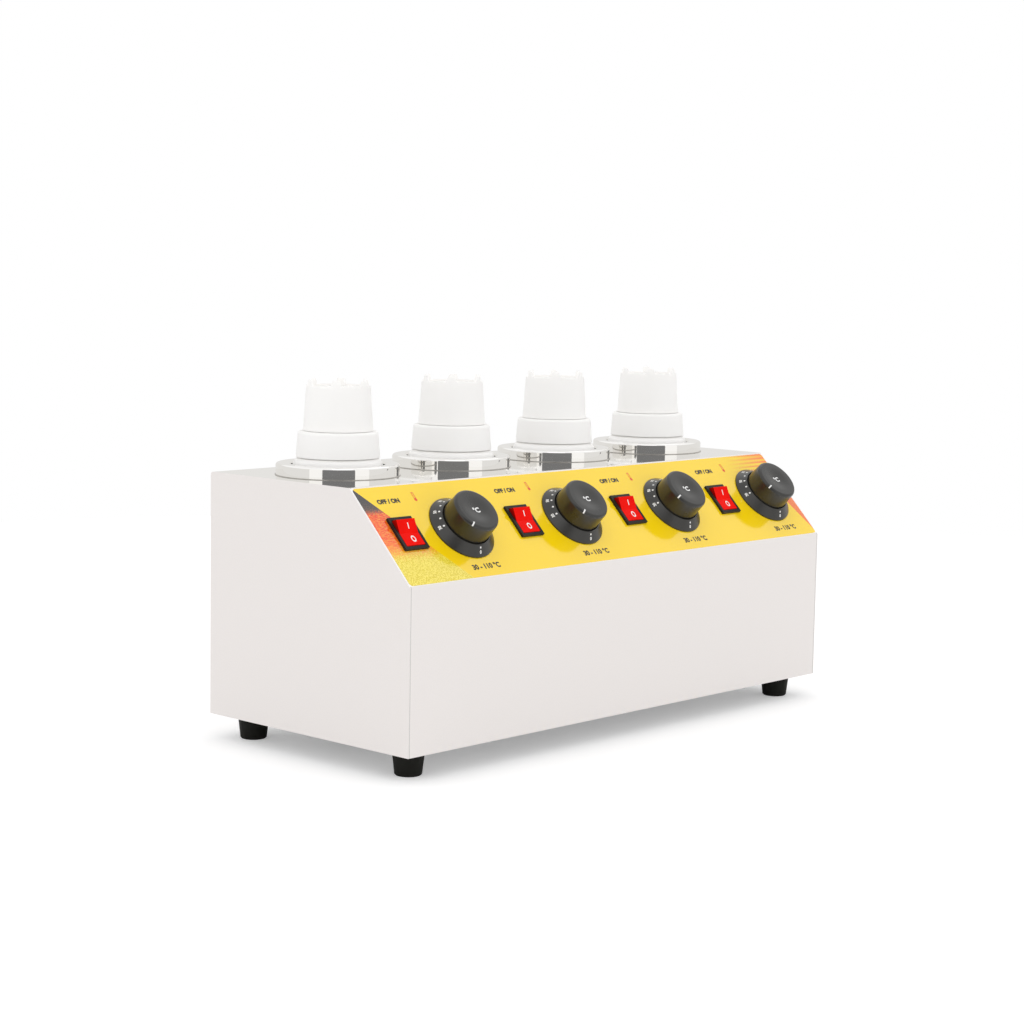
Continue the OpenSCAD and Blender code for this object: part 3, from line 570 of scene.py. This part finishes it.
def text_shape(words, size, at=(0, 0), turn=0.0, weight=DIAL_WEIGHT):
    """Flat letters about a point, as (corners, faces) in the printing plane; weight thickens them."""
    curve = bpy.data.curves.new("letters", "FONT")
    curve.body = words
    curve.size = size
    curve.align_x = "CENTER"
    curve.align_y = "CENTER"
    curve.offset = weight
    curve.resolution_u = LETTER_STEPS
    holder = bpy.data.objects.new("letters", curve)
    bpy.context.scene.collection.objects.link(holder)
    mesh = bpy.data.meshes.new_from_object(holder.evaluated_get(bpy.context.evaluated_depsgraph_get()))
    bpy.data.objects.remove(holder)
    bpy.data.curves.remove(curve)
    corners = [(v.co.x, v.co.y) for v in mesh.vertices]
    faces = [tuple(p.vertices) for p in mesh.polygons]
    bpy.data.meshes.remove(mesh)
    return placed(corners, faces, at, turn)


def placed(corners, faces, at, turn=0.0):
    c, s = math.cos(turn), math.sin(turn)
    return [(at[0] + x * c - y * s, at[1] + x * s + y * c) for x, y in corners], faces


def disc_shape(radius, at=(0, 0)):
    corners = [(radius * math.cos(q), radius * math.sin(q))
               for q in (math.tau * k / DISC_SIDES for k in range(DISC_SIDES))]
    return placed(corners, [tuple(range(DISC_SIDES))], at)


def ring_shape(outer, inner, at, tall):
    corners, faces = [], []
    for k in range(RING_SIDES):
        q = math.tau * k / RING_SIDES
        corners += [(r * math.cos(q), tall * r * math.sin(q)) for r in (outer, inner)]
        a, b = 2 * k, 2 * ((k + 1) % RING_SIDES)
        faces.append((a, b, b + 1, a + 1))
    return placed(corners, faces, at)


def bar_shape(width, height, at):
    w, h = width / 2, height / 2
    return placed([(-w, -h), (w, -h), (w, h), (-w, h)], [(0, 1, 2, 3)], at)


def print_marks(name, shapes, surface, body, material):
    """One piece of print: each shape laid on surface(x, y, height), INK_T above and below it."""
    bm = bmesh.new()
    for corners, faces in shapes:
        low = [bm.verts.new(surface(x, y, -INK_T)) for x, y in corners]
        high = [bm.verts.new(surface(x, y, INK_T)) for x, y in corners]
        edges = {}
        for face in faces:
            bm.faces.new([high[k] for k in face])
            bm.faces.new([low[k] for k in reversed(face)])
            for a, b in zip(face, face[1:] + face[:1]):
                edges[(a, b)] = True
        for a, b in edges:
            if (b, a) not in edges:
                bm.faces.new((low[a], low[b], high[b], high[a]))
    bmesh.ops.recalc_face_normals(bm, faces=bm.faces)
    piece = mesh_object(name, bm, material)
    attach(piece, body)


def on_film(x, up, height):
    return console.point(x, up, FILM_T + height)


def thermometer_shapes(at):
    """A small outline thermometer: a tube with a lid, and a bulb below."""
    x, y = at
    return [
        bar_shape(THERMOMETER_LINE, TUBE_H, (x - TUBE_HALF, y + TUBE_UP)),
        bar_shape(THERMOMETER_LINE, TUBE_H, (x + TUBE_HALF, y + TUBE_UP)),
        bar_shape(LID_W, THERMOMETER_LINE, (x, y + LID_UP)),
        disc_shape(BULB_R, (x, y - BULB_DOWN)),
    ]


def beside(x, offset):
    """A place on the film at an offset from a switch's or knob's axis."""
    return x + offset[0], offset[1]


def make_console_print():
    words, pictures = [], []
    for n in STATIONS:
        knob_x, switch_x = console.knob_x(n), console.switch_x(n)
        words.append(text_shape("OFF / ON", SWITCH_WORD_SIZE, beside(switch_x, SWITCH_WORD_AT),
                                weight=SWITCH_WEIGHT))
        words.append(text_shape("30 - 110 °C", RANGE_WORD_SIZE, beside(knob_x, RANGE_WORD_AT),
                                weight=RANGE_WEIGHT))
        pictures += thermometer_shapes(beside(knob_x, THERMOMETER_AT))
    print_marks("console_lettering", words, on_film, "root", DARK_INK)
    print_marks("console_thermometers", pictures, on_film, "root", RED_INK)


def skirt_surface(n):
    """The skirt's cone: an angle round it, a distance outwards from the dot circle, and a height."""
    (rim_r, rim_h), (top_r, top_h) = SKIRT_RIM, SKIRT_TOP
    slant = Vector((rim_r - top_r, rim_h - top_h)).normalized()

    def place(around, out, height):
        radius = DOT_CIRCLE_R + out * slant.x
        above = top_h + (radius - top_r) / slant.x * slant.y
        radius += -slant.y * height
        above += slant.x * height
        return console.point(console.knob_x(n) + radius * math.cos(around), radius * math.sin(around), above)
    return place


def dial_shape(corners_faces, angle):
    """A shape drawn upright (x across, y outwards from the dots) moved to its angle on the dial."""
    corners, faces = corners_faces
    return [(angle - x / NUMBER_CIRCLE_R, y) for x, y in corners], faces


def make_dials():
    """Dots and numbers of each scale, and the zero below."""
    number_at = (0, NUMBER_OUT)
    for n in STATIONS:
        zero = math.radians(ZERO_ANGLE)
        marks = [dial_shape(disc_shape(DIAL_DOT_R), zero),
                 dial_shape(text_shape("0", ZERO_SIZE, number_at), zero)]
        for degrees in SCALE:
            angle = math.radians(ZERO_ANGLE - SCALE_START - SCALE_STEP * (degrees - SCALE[0]) / SCALE.step)
            marks.append(dial_shape(disc_shape(DIAL_DOT_R), angle))
            if degrees in NUMBERED:
                marks.append(dial_shape(text_shape(str(degrees), NUMBER_SIZE, number_at), angle))
        print_marks(f"dial_numbers_{n}", marks, skirt_surface(n), "root", WHITE_INK)


def knob_height(radius):
    """Height of the knob's face at a radius: dish, flat rim, round edge."""
    if radius < DISH_R:
        return KNOB_H - DISH_DEPTH * (1 + math.cos(math.pi * radius / DISH_R)) / 2
    over = max(0.0, radius - (KNOB_TOP_R - KNOB_EDGE_R))
    return KNOB_H - KNOB_EDGE_R + math.sqrt(max(0.0, KNOB_EDGE_R ** 2 - over ** 2))


def knob_surface(n, angle):
    """The knob's face, with +y towards its mark."""
    c, s = math.cos(angle), math.sin(angle)

    def place(x, y, height):
        above = knob_height(math.hypot(x, y)) + height
        return console.point(console.knob_x(n) + y * c + x * s, y * s - x * c, above)
    return place


def mark_angle(n):
    """Direction of knob n's mark on the console; its joint's lower limit turns it back to zero."""
    return math.radians(ZERO_ANGLE + JOINTS[f"knob_turn_{n}"]["range_deg"][0])


def make_knob_marks():
    """A line from the flat of each knob's face down over its round edge, and the unit in its dish."""
    flat_r = KNOB_TOP_R - KNOB_EDGE_R
    over_edge = [math.radians(POINTER_DOWN * k / POINTER_STEPS) for k in range(POINTER_STEPS + 1)]
    radii = [flat_r - POINTER_IN] + [flat_r + KNOB_EDGE_R * math.sin(a) for a in over_edge]
    corners = [(side * POINTER_HALF, r) for r in radii for side in (-1, 1)]
    faces = [(2 * k, 2 * k + 1, 2 * k + 3, 2 * k + 2) for k in range(len(radii) - 1)]
    for n in STATIONS:
        surface = knob_surface(n, mark_angle(n))
        print_marks(f"knob_pointer_{n}", [(corners, faces)], surface, f"knob_{n}", WHITE_INK)
        unit = [text_shape("°C", UNIT_SIZE, turn=math.pi / 2 - mark_angle(n), weight=UNIT_WEIGHT)]
        print_marks(f"knob_unit_{n}", unit, surface, f"knob_{n}", WHITE_INK)


def rocker_surface(n):
    """Up the rocker from its crease: the lower half lies level, the upper half stands up."""
    lift = 2 * ROCKER_TILT
    crease_up, crease_out = ROCKER_CREASE

    def place(x, along, height):
        tilt = lift if along > 0 else 0.0
        up = crease_up + along * math.cos(tilt) - height * math.sin(tilt)
        out = crease_out + along * math.sin(tilt) + height * math.cos(tilt)
        return console.point(console.switch_x(n) + x, up, out)
    return place


def make_rocker_marks():
    """The bar on each rocker's upper half and the ring on its lower half."""
    shapes = [bar_shape(*ROCKER_BAR, ROCKER_BAR_AT),
              ring_shape(*ROCKER_RING, ROCKER_RING_AT, ROCKER_RING_TALL)]
    for n in STATIONS:
        print_marks(f"rocker_marks_{n}", shapes, rocker_surface(n), f"rocker_{n}", WHITE_INK)


# Studio

def make_world():
    """White all round for light and camera; mirrors see a grey card, white panels and warm walls."""
    warm_wall, panel, card, white = (0.80, 0.79, 0.77), (1.0, 0.99, 0.97), (0.19, 0.19, 0.19), (1, 1, 1)
    scene = bpy.context.scene
    scene.view_settings.view_transform = "Standard"
    world = bpy.data.worlds.new("studio")
    scene.world = world
    world.use_nodes = True
    w = Nodes(world.node_tree)
    turn = w.add("ShaderNodeVectorRotate", rotation_type="Z_AXIS")
    turn.inputs["Angle"].default_value = -TOWARDS_CAMERA
    w.join(w.add("ShaderNodeTexCoord").outputs["Generated"], turn.inputs["Vector"])
    x, y, z = w.split(turn.outputs[0])
    round_it = w.math("ADD", w.math("DIVIDE", w.math("ARCTAN2", y, x), math.tau), 0.5)
    stops = ((PANEL_FROM, panel), (CARD_FROM, card), (CARD_TO, panel), (PANEL_TO, warm_wall))
    sides = w.ramp(round_it, (0, warm_wall), *((0.5 + degrees / 360, color) for degrees, color in stops),
                   mode="CONSTANT")
    mirrored = w.mix(w.span(z, OVERHEAD_FROM, OVERHEAD_FULL), sides, white)
    glossy_ray = w.add("ShaderNodeLightPath").outputs["Is Glossy Ray"]
    background = w.tree.nodes["Background"]
    w.join(w.mix(glossy_ray, white, mirrored), background.inputs["Color"])
    background.inputs["Strength"].default_value = 1.0


def make_floor():
    """A round white floor that the camera sees as white outside the shadow."""
    bounced, seen = (0.96, 0.96, 0.96), (0.82, 0.82, 0.82)
    bm = bmesh.new()
    bmesh.ops.create_circle(bm, cap_ends=True, segments=FLOOR_SIDES, radius=FLOOR_R)
    s = Shader("floor_white", rough=0.9, Specular_IOR_Level=0.0, Emission_Color=(1, 1, 1))
    camera_ray = s.add("ShaderNodeLightPath").outputs["Is Camera Ray"]
    s.into(s.mix(camera_ray, bounced, seen), "Base Color")
    s.into(s.span(camera_ray, 0, 1, 0, FLOOR_GLOW), "Emission Strength")
    floor = mesh_object("floor", bm, s.mat)


def make_lamps():
    """Wide soft lamps that face the middle of the warmer."""
    for name, (energy, at) in LAMPS.items():
        lamp = bpy.data.lights.new(name, "AREA")
        lamp.energy = energy
        lamp.size = LAMP_SIZE
        holder = bpy.data.objects.new(name, lamp)
        holder.location = at
        holder.rotation_euler = (LAMP_AIM - holder.location).to_track_quat("-Z", "Y").to_euler()
        bpy.context.scene.collection.objects.link(holder)


make_camera()
dress_nodes()
round_switch_edges()
make_collar_flanges()
make_console_print()
make_dials()
make_knob_marks()
make_rocker_marks()
make_world()
make_floor()
make_lamps()
